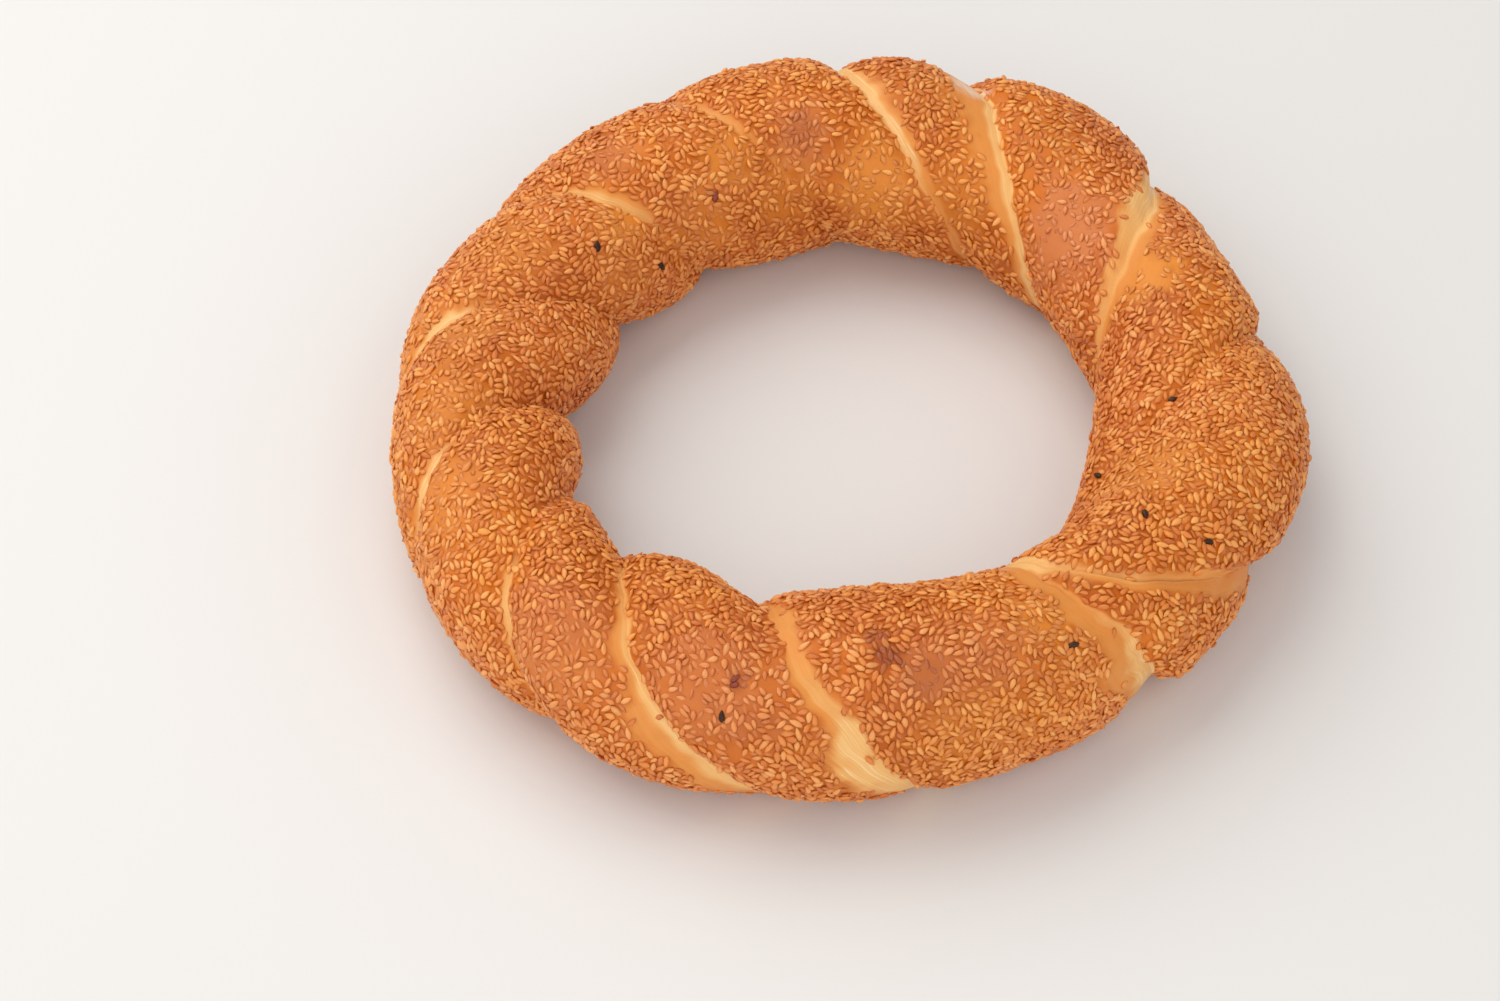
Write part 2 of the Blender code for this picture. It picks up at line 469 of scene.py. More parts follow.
def along_crease(values: np.ndarray, theta: np.ndarray) -> np.ndarray:
    """Return values that change along a crease.

    Args:
        values: for each place, the values at the side of the hole, the crown, the
            shoulder and the foot, last.
        theta: angle round the tube.

    Returns:
        The values, eased from station to station. The underside has half the sum of
        the values at the hole and at the foot.
    """
    hole, crown, shoulder, foot = np.moveaxis(values, -1, 0)
    under = (hole + foot) / 2
    stops = np.stack([under, foot, shoulder, crown, hole, under], -1)
    angles = np.radians(STATIONS)
    index = (np.searchsorted(angles, theta, side="right") - 1).clip(0, len(STATIONS) - 2)
    share = ease((theta - angles[index]) / (angles[index + 1] - angles[index]))
    before, after = (np.take_along_axis(stops, (index + i)[..., None], -1)[..., 0] for i in (0, 1))
    return before + (after - before) * share


# ------------------------------------------------------------------ shader helpers

def srgb(red: int, green: int, blue: int) -> tuple[float, float, float, float]:
    """Return a colour given as three bytes as linear red, green, blue and alpha."""
    shares = [value / 255 for value in (red, green, blue)]
    linear = [s / 12.92 if s <= 0.04045 else ((s + 0.055) / 1.055) ** 2.4 for s in shares]
    return (*linear, 1.0)


@dataclass(frozen=True)
class Wiring:
    """Adds nodes to a tree and joins them."""

    tree: bpy.types.NodeTree

    def node(self, kind: str, **settings: object) -> bpy.types.Node:
        """Add a node, with its own properties set.

        Args:
            kind: the node type's name, without its leading "ShaderNode".
            settings: properties of the node.

        Returns:
            The new node.
        """
        made = self.tree.nodes.new("ShaderNode" + kind)
        for name, value in settings.items():
            setattr(made, name, value)
        return made

    def feed(self, socket: bpy.types.NodeSocket, source: object) -> None:
        """Join a socket to another node's output, or set it to a value."""
        if isinstance(source, bpy.types.NodeSocket):
            self.tree.links.new(source, socket)
        else:
            socket.default_value = source

    def attribute(self, name: str) -> bpy.types.NodeSocket:
        """Return a mesh attribute's value."""
        return self.node("Attribute", attribute_name=name).outputs["Fac"]

    def math(self, operation: str, first: object, second: object, clamp: bool = False) -> bpy.types.NodeSocket:
        """Return the result of a sum with two values."""
        made = self.node("Math", operation=operation, use_clamp=clamp)
        self.feed(made.inputs[0], first)
        self.feed(made.inputs[1], second)
        return made.outputs[0]

    def mix(self, share: object, first: object, second: object, blend: str = "MIX") -> bpy.types.NodeSocket:
        """Return two colours mixed by a share."""
        made = self.node("Mix", data_type="RGBA", blend_type=blend)
        self.feed(made.inputs["Factor"], share)
        self.feed(made.inputs[6], first)
        self.feed(made.inputs[7], second)
        return made.outputs[2]

    def noise(self, scale: float, detail: float, place: object = None) -> bpy.types.NodeSocket:
        """Return a noise texture's value.

        Args:
            scale: how many cells there are to the metre.
            detail: how many finer layers it has.
            place: coordinates to read, or None for the object's own.

        Returns:
            The value, from 0 to 1.
        """
        if place is None:
            place = self.node("TexCoord").outputs["Object"]
        made = self.node("TexNoise")
        self.feed(made.inputs["Vector"], place)
        made.inputs["Scale"].default_value = scale
        made.inputs["Detail"].default_value = detail
        return made.outputs["Fac"]

    def spread(self, value: bpy.types.NodeSocket, low: float, high: float) -> bpy.types.NodeSocket:
        """Return a value eased from 0 at low to 1 at high."""
        made = self.node("MapRange", interpolation_type="SMOOTHSTEP")
        self.feed(made.inputs["Value"], value)
        made.inputs["From Min"].default_value = low
        made.inputs["From Max"].default_value = high
        return made.outputs["Result"]


def new_group(name: str, inputs: dict[str, str], outputs: dict[str, str]) -> tuple[Wiring, object, object]:
    """Start a shader node group.

    Args:
        name: the group's name.
        inputs: its input sockets' names and types.
        outputs: its output sockets' names and types.

    Returns:
        The wiring of its tree, its input node's outputs and its output node's inputs.
    """
    tree = bpy.data.node_groups.new(name, "ShaderNodeTree")
    for in_out, sockets in (("INPUT", inputs), ("OUTPUT", outputs)):
        for label, kind in sockets.items():
            tree.interface.new_socket(label, in_out=in_out, socket_type="NodeSocket" + kind)
    start, end = tree.nodes.new("NodeGroupInput"), tree.nodes.new("NodeGroupOutput")
    return Wiring(tree), start.outputs, end.inputs


class Effects:
    """Effects that the crust and the seeds share."""

    def __init__(self) -> None:
        """Build the node groups."""
        self.browning = self.build_browning()
        self.glaze = self.build_glaze()

    def build_browning(self) -> bpy.types.NodeTree:
        """Return the group that browns a colour unevenly, as an oven does.

        Returns:
            A group that mixes Light and Dark by broad patches and finer mottling, and
            takes some blue away in other broad patches, which look golden.
        """
        wiring, given, wanted = new_group(
            "browning", {"Light": "Color", "Dark": "Color"}, {"Color": "Color"}
        )
        patches = wiring.spread(wiring.noise(34.0, 2.0), 0.40, 0.62)
        mottling = wiring.spread(wiring.noise(170.0, 3.0), 0.30, 0.72)
        share = wiring.mix(0.35, patches, mottling)
        browned = wiring.mix(share, given["Light"], given["Dark"])
        golden = wiring.spread(wiring.noise(23.0, 2.0), 0.42, 0.60)
        cast = wiring.mix(golden, (0.95, 0.90, 0.93, 1.0), (1.0, 1.0, 0.72, 1.0))
        wiring.feed(wanted["Color"], wiring.mix(1.0, browned, cast, "MULTIPLY"))
        return wiring.tree

    def build_glaze(self) -> bpy.types.NodeTree:
        """Return the group for the sticky glaze on crust and seeds.

        Returns:
            A group that puts out an uneven Roughness about the given one, and a Height
            for a Bump node: fine blisters and finer grain.
        """
        wiring, given, wanted = new_group(
            "glaze", {"Roughness": "Float"}, {"Roughness": "Float", "Height": "Float"}
        )
        blisters, grain = wiring.noise(900.0, 3.0), wiring.noise(3200.0, 2.0)
        uneven = wiring.math("MULTIPLY", wiring.math("SUBTRACT", wiring.noise(420.0, 2.0), 0.5), 0.35)
        wiring.feed(wanted["Roughness"], wiring.math("ADD", given["Roughness"], uneven, clamp=True))
        fine = wiring.math("MULTIPLY", grain, 0.3)
        wiring.feed(wanted["Height"], wiring.math("ADD", blisters, fine))
        return wiring.tree


@dataclass(frozen=True)
class Finish:
    """What crust and seeds have in common as a surface."""

    roughness: float
    coat: float
    coat_roughness: float
    specular: float
    subsurface: float
    bump: float

    def start(self, name: str, effects: Effects) -> tuple[bpy.types.Material, Wiring, bpy.types.Node]:
        """Start a material with its glaze, and leave its colour to the caller.

        Args:
            name: the material's name.
            effects: the shared node groups.

        Returns:
            The material, the wiring of its tree and its shader.
        """
        material = bpy.data.materials.new(name)
        material.use_nodes = True
        wiring = Wiring(material.node_tree)
        shader = material.node_tree.nodes["Principled BSDF"]
        shader.inputs["Coat Weight"].default_value = self.coat
        shader.inputs["Coat Roughness"].default_value = self.coat_roughness
        shader.inputs["Specular IOR Level"].default_value = self.specular
        shader.inputs["Subsurface Weight"].default_value = self.subsurface
        shader.inputs["Subsurface Radius"].default_value = (1.0, 0.45, 0.2)
        shader.inputs["Subsurface Scale"].default_value = 0.0015
        glaze = wiring.node("Group", node_tree=effects.glaze)
        glaze.inputs["Roughness"].default_value = self.roughness
        bump = wiring.node("Bump")
        bump.inputs["Strength"].default_value = self.bump
        bump.inputs["Distance"].default_value = 0.2 * MM
        wiring.feed(bump.inputs["Height"], glaze.outputs["Height"])
        wiring.feed(shader.inputs["Normal"], bump.outputs["Normal"])
        wiring.feed(shader.inputs["Roughness"], glaze.outputs["Roughness"])
        return material, wiring, shader


@dataclass(frozen=True)
class CrustFinish(Finish):
    """The browned crust, with its pale strips, a painted highlight along them, scorched spots and flour."""

    roughness: float = 0.44
    coat: float = 0.04
    coat_roughness: float = 0.30
    specular: float = 0.20
    subsurface: float = 0.06
    bump: float = 0.40
    # These browns show mostly in the gaps between seeds: partly the glaze's own dark colour, partly painted shade
    # in those gaps.
    brown: tuple[float, ...] = srgb(214, 118, 36)
    dark_brown: tuple[float, ...] = srgb(176, 86, 20)
    bald_brown: tuple[float, ...] = srgb(209, 127, 75)
    scorched: tuple[float, ...] = srgb(146, 68, 38)
    golden: tuple[float, ...] = srgb(228, 144, 56)
    orange: tuple[float, ...] = srgb(224, 146, 71)
    pale: tuple[float, ...] = srgb(236, 184, 114)
    # Painted highlight: whitish streaks that stand for the glaze's shine on the pale strips.
    painted_highlight: tuple[float, ...] = srgb(246, 216, 168)
    flour: tuple[float, ...] = srgb(240, 212, 188)

    def build(self, effects: Effects) -> bpy.types.Material:
        """Return the crust's material.

        The colour goes from browned crust over orange to pale with the mesh's own
        attributes, which say how bare, pale, bald, scorched and floured a place is.
        Whitish streaks in the palest parts are a painted highlight.
        """
        material, wiring, shader = self.start("crust", effects)
        browning = wiring.node("Group", node_tree=effects.browning)
        browning.inputs["Light"].default_value = self.brown
        browning.inputs["Dark"].default_value = self.dark_brown
        colour = browning.outputs["Color"]
        streaks = wiring.node("Mapping")
        wiring.feed(streaks.inputs["Vector"], wiring.node("UVMap", uv_map="strands").outputs["UV"])
        streaks.inputs["Scale"].default_value = (6.0, 60.0, 1.0)
        torn = wiring.math("SUBTRACT", wiring.noise(1.0, 2.0, streaks.outputs["Vector"]), 0.5)
        for name, paint, strength, streaked in (
            ("bald", self.bald_brown, 1.0, 0.0),
            ("golden", self.golden, 1.0, 0.3),
            ("bare", self.orange, 1.0, 0.5),
            ("pale", self.pale, 1.0, 0.8),
            ("scorched", self.scorched, 0.5, 0.0),
            ("floured", self.flour, 1.0, 1.2),
        ):
            amount = wiring.math("MULTIPLY", wiring.attribute(name), strength)
            if streaked:
                rough = wiring.math("MULTIPLY", torn, streaked)
                rough = wiring.math("MULTIPLY", rough, wiring.spread(amount, 0.0, 0.3))
                amount = wiring.math("ADD", amount, rough, clamp=True)
            colour = wiring.mix(amount, colour, paint)
            if name == "pale":
                # The palest streaked parts of a strip get the painted highlight.
                highlight_share = wiring.math("MULTIPLY", wiring.spread(amount, 0.7, 1.0), wiring.spread(torn, 0.0, 0.25))
                colour = wiring.mix(highlight_share, colour, self.painted_highlight)
        wiring.feed(shader.inputs["Base Color"], colour)
        return material


@dataclass(frozen=True)
class SeedFinish(Finish):
    """Sesame seeds of one kind, stained by the glaze and darkened by painted shade near the crust."""

    roughness: float = 0.38
    coat: float = 0.05
    coat_roughness: float = 0.25
    specular: float = 0.40
    subsurface: float = 0.06
    bump: float = 0.30
    light: tuple[float, ...] = srgb(241, 162, 86)
    dark: tuple[float, ...] = srgb(224, 136, 58)
    # Partly the glaze's stain, partly painted shade where the seed meets the crust.
    stain_and_shade: tuple[float, ...] = srgb(178, 84, 24)
    golden: tuple[float, ...] = srgb(248, 178, 92)
    bald: tuple[float, ...] = srgb(226, 148, 100)
    scorched: tuple[float, ...] = srgb(136, 58, 38)

    def build(self, name: str, effects: Effects) -> bpy.types.Material:
        """Return the seeds' material.

        Args:
            name: the material's name.
            effects: the shared node groups.

        Returns:
            A material whose colour goes from light to dark with the oven's browning and
            with each seed's own tone, to the glaze's stain and painted contact shade where
            the seed meets the crust, and to the scorched colour in the scorched spots.
        """
        material, wiring, shader = self.start(name, effects)
        browning = wiring.node("Group", node_tree=effects.browning)
        browning.inputs["Light"].default_value = self.light
        browning.inputs["Dark"].default_value = self.dark
        tone = wiring.attribute("tone")
        own = wiring.mix(tone, self.light, self.dark)
        colour = wiring.mix(0.4, browning.outputs["Color"], own)
        colour = wiring.mix(wiring.attribute("golden"), colour, self.golden)
        colour = wiring.mix(wiring.attribute("bald"), colour, self.bald)
        # Glaze stain with painted shade: points low on the seed, near the crust, darken.
        stained_and_shaded = wiring.spread(wiring.attribute("lift"), 0.55, -0.25)
        colour = wiring.mix(wiring.math("MULTIPLY", stained_and_shaded, 0.75), colour, self.stain_and_shade)
        colour = wiring.mix(wiring.attribute("scorched"), colour, self.scorched)
        wiring.feed(shader.inputs["Base Color"], colour)
        return material


# ------------------------------------------------------------------ pieces

def add_piece(
    name: str,
    points: np.ndarray,
    faces: list[list[int]],
    attributes: dict[str, np.ndarray],
    material: bpy.types.Material,
) -> bpy.types.Object:
    """Add a smooth mesh piece that rides on the one body.

    Args:
        name: the piece's name.
        points: its points, one a row.
        faces: the numbers of each face's points.
        attributes: values for each point, by name.
        material: its material.

    Returns:
        The new object.
    """
    mesh = bpy.data.meshes.new(name)
    mesh.from_pydata(points.tolist(), [], faces)
    for label, values in attributes.items():
        layer = mesh.attributes.new(label, "FLOAT", "POINT")
        layer.data.foreach_set("value", np.ascontiguousarray(values, np.float32).ravel())
    mesh.materials.append(material)
    mesh.shade_smooth()
    piece = bpy.data.objects.new(name, mesh)
    bpy.context.scene.collection.objects.link(piece)
    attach(piece, BODY)
    triangles = sum(len(face) - 2 for face in faces)
    log.info("%s: %d points, %d triangles", name, len(points), triangles)
    return piece


@dataclass(frozen=True)
class Crust:
    """The browned surface of the dough, which stands for the solid."""

    ring: TwistedRing
    rows: int = 44                  # rows of points across a lobe
    columns: int = 172              # columns of points round the tube
    crowding: float = 0.68          # how much closer the rows are at the creases
    tray_gap: float = 0.35 * MM     # room for the seeds under the flat underside
    # Relief finer than the solid's: cell and height of each layer.
    layers: tuple[tuple[float, float], ...] = ((9.0 * MM, 0.32 * MM), (3.5 * MM, 0.13 * MM))
    thinnest_strip: float = 1.2 * MM    # a narrower strip fades
    unevenness: float = 0.35        # how much a strip's width varies

    def relief(self, points: np.ndarray) -> np.ndarray:
        """Return how far the fine relief stands out: the sum of its layers of noise."""
        return sum(
            height * SmoothNoise(cell, seed).at(points)
            for seed, (cell, height) in enumerate(self.layers)
        )

    def points(self, place: Place) -> np.ndarray:
        """Return points of the finished surface, moved to the solid's place."""
        radius = self.ring.radius(place)
        smooth = self.ring.points(place, radius)
        return self.ring.points(place, radius + self.relief(smooth), self.tray_gap) - self.shift()

    def shift(self) -> np.ndarray:
        """Return how far the smooth ring's middle is from the solid's, along X and Y."""
        lobe, across, theta = self.grid()
        place = self.ring.place(lobe[::4, ::4], across[::4, ::4], theta[::4, ::4])
        smooth = self.ring.points(place, self.ring.radius(place)).reshape(-1, 3)
        low, high = (np.array(corner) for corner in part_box(NODE))
        middle = (smooth.min(axis=0) + smooth.max(axis=0) - low - high) / 2
        return np.array([middle[0], middle[1], 0.0])

    def grid(self) -> tuple[np.ndarray, np.ndarray, np.ndarray]:
        """Return the lobe, the share across it and the tube angle of each grid point.

        A share s of the rows lies at s less the crowding times sin(turn of s) over a
        turn, so rows are closer together at the creases.
        """
        row = np.arange(self.ring.lobes * self.rows)[:, None]
        share = row % self.rows / self.rows
        across = share - self.crowding * np.sin(TURN * share) / TURN
        turn = np.arange(self.columns)[None, :] / self.columns
        return tuple(np.broadcast_arrays(row // self.rows, across, 1.5 * math.pi - TURN * turn))

    def strips(self, place: Place, ragged: np.ndarray, slow: np.ndarray) -> tuple[np.ndarray, np.ndarray]:
        """Return how bare and how pale places are, because of the creases beside them.

        Args:
            place: places on the crust.
            ragged: a field from -1 to 1 that makes the strips' edges uneven.
            slow: a broader one that makes their widths uneven.

        Returns:
            Two arrays from 0 to 1. A strip fades out over its width on its gentle side,
            and ends within its reach past the crease on the other.
        """
        bare, pale = np.zeros(place.theta.shape), np.zeros(place.theta.shape)
        gentle_before = self.ring.column("band") > 0
        following = (place.lobe + 1) % self.ring.lobes
        for crease, distance, before in (
            (following, (1 - place.across) * place.width, True),
            (place.lobe, place.across * place.width, False),
        ):
            gentle = gentle_before[crease] == before
            for shown, name, soft in ((bare, "bare", 0.9), (pale, "pale", 0.8)):
                uneven = MM * (1 + self.unevenness * slow)
                width = uneven * along_crease(self.ring.column(name)[crease], place.theta)
                past = uneven * along_crease(self.ring.column("past")[crease], place.theta)
                reach = np.where(gentle, width, past) + 0.01 * MM
                shows = np.maximum(width, past) if name == "bare" else width
                share = distance / reach + 0.30 * ragged
                strip = ease(shows / self.thinnest_strip) * ease((1 + soft / 2 - share) / soft)
                np.maximum(shown, strip, out=shown)
        return bare, pale

    def looks(self, place: Place, points: np.ndarray) -> dict[str, np.ndarray]:
        """Return the attributes that the crust's material reads.

        Args:
            place: places on the crust.
            points: the same places in space.

        Returns:
            Values from 0 to 1 for each name.
        """
        ragged = SmoothNoise(1.8 * MM, 11).at(points)
        bare, pale = self.strips(place, ragged, SmoothNoise(7.0 * MM, 13).at(points))
        looks = {"bare": bare, "pale": pale}
        for mark in Mark:
            looks[mark.value] = spot_amount(self.ring, place, mark, ragged)
        return looks

    def faces(self) -> tuple[np.ndarray, np.ndarray]:
        """Return the faces' points and their places on the unrolled strands.

        After one turn round the tube a row goes on as the row two lobes further, so the
        last column joins the first one with that shift.

        Returns:
            The numbers of each face's points, and the UV of each of its corners: turns
            round the tube, and lobes along the ring.
        """
        total = self.ring.lobes * self.rows
        row, col = np.arange(total)[:, None], np.arange(self.columns)[None, :]
        numbers, corners = [], []
        for down, right in ((0, 0), (0, 1), (1, 1), (1, 0)):
            wrapped = (col + right) // self.columns
            line = (row + down + wrapped * 2 * self.rows) % total
            numbers.append(line * self.columns + (col + right) % self.columns)
            u, v = np.broadcast_arrays((col + right) / self.columns, (row + down) / self.rows)
            corners.append(np.stack([u, v], -1))
        return np.stack(numbers, -1).reshape(-1, 4), np.stack(corners, 2).reshape(-1, 2)

    def build(self, effects: Effects) -> bpy.types.Object:
        """Build and dress the crust.

        Args:
            effects: the shared node groups.

        Returns:
            The piece, in place of the solid.
        """
        place = self.ring.place(*self.grid())
        points = self.points(place)
        looks = self.looks(place, points)
        numbers, corners = self.faces()
        piece = add_piece("crust", points.reshape(-1, 3), numbers.tolist(), looks, CrustFinish().build(effects))
        layer = piece.data.uv_layers.new(name="strands")
        layer.data.foreach_set("uv", corners.astype(np.float32).ravel())
        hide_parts(NODE)
        return piece


# ------------------------------------------------------------------ seeds

class SeedKind(Enum):
    """Kinds of sesame seed on the ring."""

    GOLDEN = "golden_seeds"
    AMBER = "amber_seeds"
    PALE = "pale_seeds"
    TOASTED = "toasted_seeds"
    GLAZED = "glazed_seeds"
    BLACK = "black_seeds"


@dataclass(frozen=True)
class SeedLot:
    """One kind of seed: its share of all seeds, how much deeper it sits, and its finish."""

    kind: SeedKind
    share: float
    sunk: float
    finish: SeedFinish


SEED_LOTS = (
    SeedLot(SeedKind.GOLDEN, 0.204, 0.0, SeedFinish()),
    SeedLot(SeedKind.AMBER, 0.204, 0.0, SeedFinish(light=srgb(234, 150, 74), dark=srgb(216, 124, 52))),
    SeedLot(SeedKind.PALE, 0.204, -0.03 * MM, SeedFinish(light=srgb(243, 173, 102), dark=srgb(233, 151, 80))),
    SeedLot(SeedKind.TOASTED, 0.204, 0.02 * MM, SeedFinish(light=srgb(224, 136, 62), dark=srgb(198, 104, 40))),
    SeedLot(SeedKind.GLAZED, 0.184, 0.13 * MM, SeedFinish(light=srgb(232, 146, 76), dark=srgb(214, 122, 52))),
    SeedLot(
        SeedKind.BLACK,
        0.0,
        -0.08 * MM,
        SeedFinish(light=srgb(74, 46, 28), dark=srgb(38, 22, 14), stain_and_shade=srgb(80, 40, 20), coat=0.0, specular=0.25),
    ),
)


BLACK_LOT = len(SEED_LOTS) - 1


@dataclass(frozen=True)
class SeedShape:
    """A sesame seed: a flat drop, blunt at one end and pointed at the other."""

    length: float = 2.42 * MM
    width: float = 1.38 * MM
    thickness: float = 0.82 * MM
    rings: tuple[float, ...] = (0.08, 0.33, 0.65, 0.90)
    sides: int = 6

    def points(self) -> np.ndarray:
        """Return the seed's points, the long axis along X and the thickness along Z.

        A ring at a share t of the length is an ellipse as wide as
        sin(pi * t ^ 0.75) ^ 0.8 of the seed. The first and last points are the tips.
        """
        share = np.array(self.rings)[:, None]
        full = np.sin(math.pi * share ** 0.75) ** 0.8
        angle = np.arange(self.sides)[None, :] * TURN / self.sides
        x = np.broadcast_to((share - 0.5) * self.length, (len(self.rings), self.sides))
        y = 0.5 * self.width * full * np.cos(angle)
        z = 0.5 * self.thickness * full ** 0.8 * np.sin(angle)
        rings = np.stack([x, y, z], -1).reshape(-1, 3)
        tip = np.array([[0.5 * self.length, 0.0, 0.0]])
        return np.concatenate([-tip, rings, tip])

    def faces(self) -> list[list[int]]:
        """Return the seed's faces: a fan at each tip and four-cornered faces between."""
        count, sides = len(self.rings), self.sides
        side = np.arange(sides)
        onward = (side + 1) % sides
        last = 1 + count * sides
        start = np.stack([np.zeros_like(side), 1 + onward, 1 + side], -1)
        end = np.stack([np.full_like(side, last), last - sides + side, last - sides + onward], -1)
        line = 1 + sides * np.arange(count - 1)[:, None]
        walls = np.stack([line + side, line + onward, line + sides + onward, line + sides + side], -1)
        return start.tolist() + walls.reshape(-1, 4).tolist() + end.tolist()


def turned(first: np.ndarray, second: np.ndarray, angle: np.ndarray) -> tuple[np.ndarray, np.ndarray]:
    """Return two directions turned towards each other's place by an angle."""
    return first * np.cos(angle) + second * np.sin(angle), second * np.cos(angle) - first * np.sin(angle)


@dataclass
class Seeds:
    """Seeds that lie on the crust: places, headings and sizes, as arrays."""

    azimuth: np.ndarray
    theta: np.ndarray
    heading: np.ndarray             # the long axis's turn from the ring's direction
    size: np.ndarray                # share of the mean length

    def keep(self, chosen: np.ndarray) -> "Seeds":
        """Return the chosen seeds alone."""
        return Seeds(*(getattr(self, part.name)[chosen] for part in fields(self)))


@dataclass(frozen=True)
class SeedCoat:
    """The coat of seeds: how they are strewn, settled and pressed into the crust."""

    crust: Crust
    shape: SeedShape = SeedShape()
    per_square_mm: float = 0.415    # seeds where they lie densest
    disc_place: float = 0.235       # a seed pushes its neighbours with three discs, two of
    disc_radius: float = 0.218      # them this far from its middle, as shares of its length
    neighbours: int = 10
    rounds: int = 6
    pushes: int = 9                 # pushes in each round
    bed_size: float = 0.9 * MM      # how far round its middle a seed feels the crust
    rises: tuple[float, float] = (-0.10 * MM, 0.22 * MM)    # its middle over the crust
    proud_share: float = 0.05       # of the seeds, those that lie on others
    proud_rise: float = 0.32 * MM
    lowest: float = 0.03 * MM       # the least height of a seed's points
    random_seed: int = 71

    def torus(self, seeds: Seeds) -> tuple[np.ndarray, np.ndarray, np.ndarray, np.ndarray]:
        """Return places on a plain ring without lobes, and directions there.

        Args:
            seeds: the seeds.

        Returns:
            The points, the direction round the ring, the direction in which theta grows
            and the distance from the ring's axis.
        """
        ring = self.crust.ring
        cos_a, sin_a = np.cos(seeds.azimuth), np.sin(seeds.azimuth)
        cos_t, sin_t = np.cos(seeds.theta), np.sin(seeds.theta)
        reach = ring.ring_radius + ring.tube_radius * cos_t
        points = np.stack([reach * cos_a, reach * sin_a, ring.tube_radius * sin_t], -1)
        along = np.stack([-sin_a, cos_a, np.zeros_like(sin_a)], -1)
        around = np.stack([-sin_t * cos_a, -sin_t * sin_a, cos_t], -1)
        return points, along, around, reach

    def strew(self, random: np.random.Generator) -> Seeds:
        """Strew seeds evenly, then thin them out where the crust shows.

        Places follow the plastic number's sequence, which fills a square evenly, and
        the tube angle is spread so that each piece of a plain ring's surface gets its
        share.

        Args:
            random: the generator that thins them and turns them.

        Returns:
            The seeds.
        """
        ring = self.crust.ring
        area = TURN ** 2 * ring.ring_radius * ring.tube_radius
        count = int(area / MM ** 2 * self.per_square_mm)
        plastic = 1.32471795724474602596
        step = np.arange(1, count + 1)
        theta_table = np.linspace(0, TURN, 721)
        spread = theta_table + ring.tube_radius / ring.ring_radius * np.sin(theta_table)
        theta = np.interp((step / plastic ** 2) % 1 * TURN, spread, theta_table)
        azimuth = (step / plastic) % 1 * TURN
        jitter = random.normal(0, 0.4 * MM, (2, count))
        seeds = Seeds(
            (azimuth + jitter[0] / ring.ring_radius) % TURN,
            theta + jitter[1] / ring.tube_radius,
            random.uniform(0, TURN, count),
            random.normal(1.0, 0.08, count).clip(0.8, 1.2),
        )
        return seeds.keep(random.uniform(0, 1, count) < self.cover(seeds))

    def cover(self, seeds: Seeds) -> np.ndarray:
        """Return the share of seeds that stay at each place.

        It is the lobe's own cover, less where the crust is bare, bald or pressed on
        the tray.
        """
        ring = self.crust.ring
        place = ring.place_at(seeds.azimuth, seeds.theta)
        points = ring.points(place, ring.radius(place))
        looks = self.crust.looks(place, points)
        thin = SmoothNoise(11 * MM, 5).at(points)
        cover = ring.column("cover")[place.lobe] * (1 + 0.18 * thin)
        bare = 0.96 * ease((looks["bare"] - 0.35) / 0.4)
        under = ease((-np.sin(place.theta) - 0.8) / 0.15)
        thinned = 0.4 * looks[Mark.BALD.value] + 0.75 * looks[Mark.GOLDEN.value] ** 2
        return cover * (1 - bare) * np.clip(1 - thinned, 0, 1) * (1 - 0.5 * under)

    def settle(self, seeds: Seeds, random: np.random.Generator) -> Seeds:
        """Push seeds apart until they lie side by side.

        Each seed is three discs on its long axis. Discs of neighbouring seeds that
        overlap push each other apart in the surface, which moves and turns the seeds.

        Args:
            seeds: the seeds as strewn.
            random: the generator that leaves a few strays on the bare strips.

        Returns:
            The seeds as settled.
        """
        ring = self.crust.ring
        arm = self.disc_place * self.shape.length * seeds.size
        disc = self.disc_radius * self.shape.length * seeds.size
        signs = np.array([-1.0, 0.0, 1.0])
        for _ in range(self.rounds):
            near = self.nearest(self.torus(seeds)[0])
            for _ in range(self.pushes):
                points, along, around, reach = self.torus(seeds)
                axis = along * np.cos(seeds.heading)[:, None] + around * np.sin(seeds.heading)[:, None]
                discs = points[:, None] + signs[:, None] * (arm[:, None] * axis)[:, None]
                gap = discs[:, None, :, None] - discs[near][:, :, None, :]
                distance = np.linalg.norm(gap, axis=-1) + 1e-9
                wanted = disc[:, None] + disc[near]
                overlap = np.clip(wanted[:, :, None, None] - distance, 0, None)
                push = 0.25 * (gap / distance[..., None] * overlap[..., None]).sum(axis=(1, 3))
                move = push.sum(axis=1)
                twist = ((push[:, 2] - push[:, 0]) * self.sideways(seeds, along, around)).sum(axis=1)
                seeds.azimuth = seeds.azimuth + (move * along).sum(axis=1) / reach
                seeds.theta = seeds.theta + (move * around).sum(axis=1) / ring.tube_radius
                seeds.heading = seeds.heading + 0.5 * twist / arm
        seeds.azimuth = seeds.azimuth % TURN
        return seeds.keep(random.uniform(0, 1, len(seeds.size)) < 0.05 + self.cover(seeds) / 0.3)

    def sideways(self, seeds: Seeds, along: np.ndarray, around: np.ndarray) -> np.ndarray:
        """Return each seed's direction across its long axis, in the surface."""
        return around * np.cos(seeds.heading)[:, None] - along * np.sin(seeds.heading)[:, None]

    def nearest(self, points: np.ndarray) -> np.ndarray:
        """Return the numbers of each point's nearest neighbours."""
        tree = kdtree.KDTree(len(points))
        for number, point in enumerate(points):
            tree.insert(point, number)
        tree.balance()
        found = [[hit[1] for hit in tree.find_n(point, self.neighbours + 1)][1:] for point in points]
        return np.array(found)

